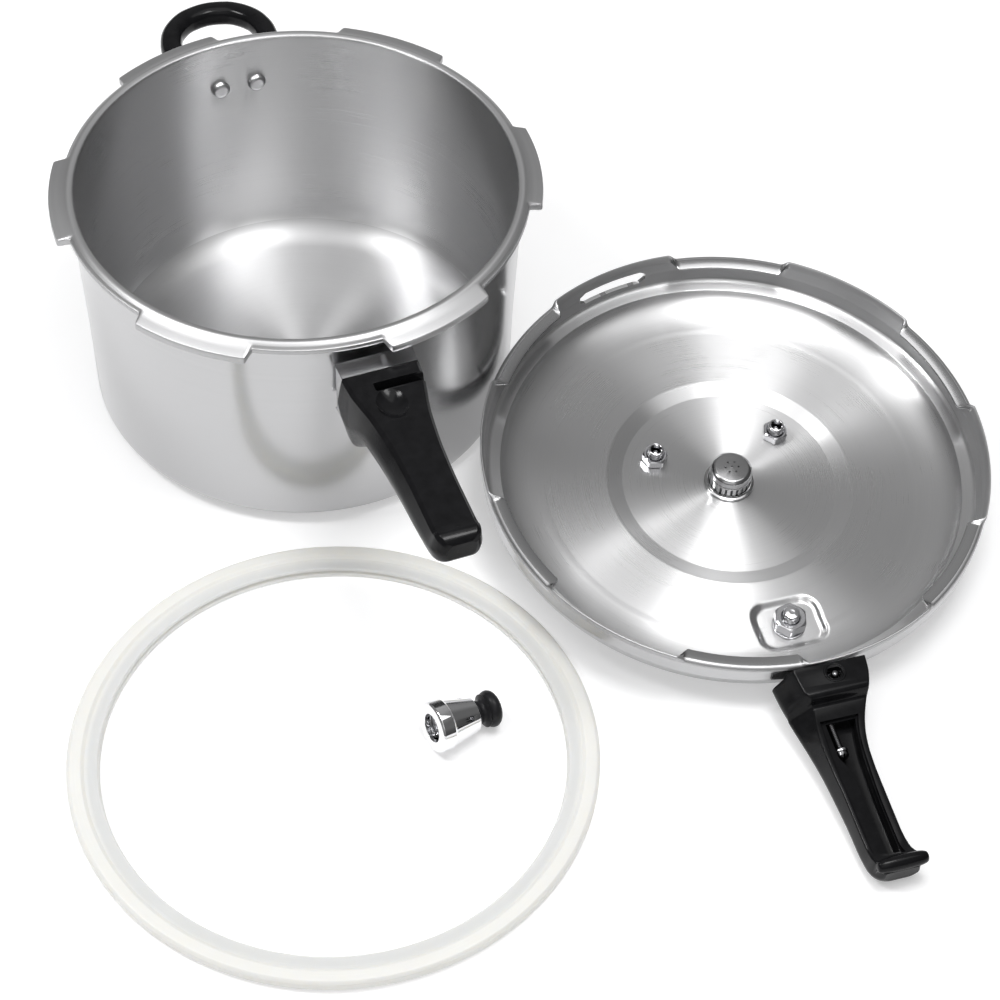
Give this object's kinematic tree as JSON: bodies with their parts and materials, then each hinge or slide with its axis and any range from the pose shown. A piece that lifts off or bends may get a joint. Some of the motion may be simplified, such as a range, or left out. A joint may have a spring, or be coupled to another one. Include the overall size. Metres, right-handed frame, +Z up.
{
  "type": "pressure canner",
  "caption": "Stovetop pressure cooker taken apart: lugged pot with a long grip and a loop, inverted bayonet lid, silicone ring and weight.",
  "frame": {"origin": "the pot's axis at the flat underside of its base, which stands on the table", "axes": "+Z up along the pot's axis; +Y away from the front, where the gasket lies; +X towards the lid"},
  "size_m": [0.5236, 0.5983, 0.15],
  "materials": {
    "brushed_aluminium": "satin spun inside, polished outside",
    "polished_aluminium": "polished",
    "black_phenolic": "moulded, glossy",
    "bright_steel": "bright zinc and stainless",
    "chrome_plate": "mirror plated",
    "spring_steel": "drawn wire",
    "clear_silicone": "translucent, satin",
    "black_rubber": "matt"
  },
  "bodies": {
    "pot": {"helper_handle_bracket": "bright_steel", "helper_handle_loop": "black_phenolic", "helper_rivet_left": "polished_aluminium", "helper_rivet_right": "polished_aluminium", "helper_screw_left": "bright_steel", "helper_screw_right": "bright_steel", "pot_handle_bolt": "bright_steel", "pot_handle_bracket": "bright_steel", "pot_handle_grip": "black_phenolic", "pot_handle_washer": "bright_steel", "pot_shell": "brushed_aluminium"},
    "lid": {"handle_long_screw": "bright_steel", "handle_screw_washer": "bright_steel", "lid_handle_bolt": "bright_steel", "lid_handle_grip": "black_phenolic", "lid_handle_nut": "bright_steel", "lid_handle_strap": "bright_steel", "lid_handle_washer": "bright_steel", "lid_shell": "brushed_aluminium", "lock_pin_spring": "spring_steel", "relief_valve_body_left": "bright_steel", "relief_valve_body_right": "bright_steel", "relief_valve_nut_left": "bright_steel", "relief_valve_nut_right": "bright_steel", "relief_valve_seal_left": "black_rubber", "relief_valve_seal_right": "black_rubber", "relief_valve_spring_left": "spring_steel", "relief_valve_spring_right": "spring_steel", "vent_pipe": "bright_steel", "vent_pipe_nut": "bright_steel"},
    "strainer": {"strainer_cap": "chrome_plate"},
    "lock_pin": {"lock_pin": "bright_steel"},
    "relief_pin_left": {"relief_valve_pin_left": "chrome_plate"},
    "relief_pin_right": {"relief_valve_pin_right": "chrome_plate"},
    "gasket": {"sealing_gasket": "clear_silicone"},
    "regulator_weight": {"regulator_weight_body": "chrome_plate", "regulator_weight_clip": "spring_steel", "regulator_weight_knob": "black_phenolic", "regulator_weight_stem": "bright_steel"}
  },
  "joints": [
    {"name": "lid_lift", "type": "slide", "parent": "pot", "child": "lid", "axis": [0.3301, -0.12, 0.9363], "range_m": [0, 0.2]},
    {"name": "gasket_lift", "type": "slide", "parent": "pot", "child": "gasket", "axis": [0, -0.8, 0.6], "range_m": [0, 0.25]},
    {"name": "regulator_weight_lift", "type": "slide", "parent": "pot", "child": "regulator_weight", "axis": [0, 0, 1], "range_m": [0, 0.08]},
    {"name": "strainer_pull", "type": "slide", "parent": "lid", "child": "strainer", "axis": [0.0323, -0.0994, 0.9945], "range_m": [0, 0.03]},
    {"name": "lock_pin_travel", "type": "slide", "parent": "lid", "child": "lock_pin", "axis": [0.0323, -0.0994, 0.9945], "range_m": [0, 0.004], "stiffness_N_per_m": 200, "deforming": ["lock_pin_spring"]},
    {"name": "relief_pin_left_travel", "type": "slide", "parent": "lid", "child": "relief_pin_left", "axis": [-0.0323, 0.0994, -0.9945], "range_m": [0, 0.002], "stiffness_N_per_m": 600, "deforming": ["relief_valve_spring_left"]},
    {"name": "relief_pin_right_travel", "type": "slide", "parent": "lid", "child": "relief_pin_right", "axis": [-0.0323, 0.0994, -0.9945], "range_m": [0, 0.002], "stiffness_N_per_m": 600, "deforming": ["relief_valve_spring_right"]}
  ]
}
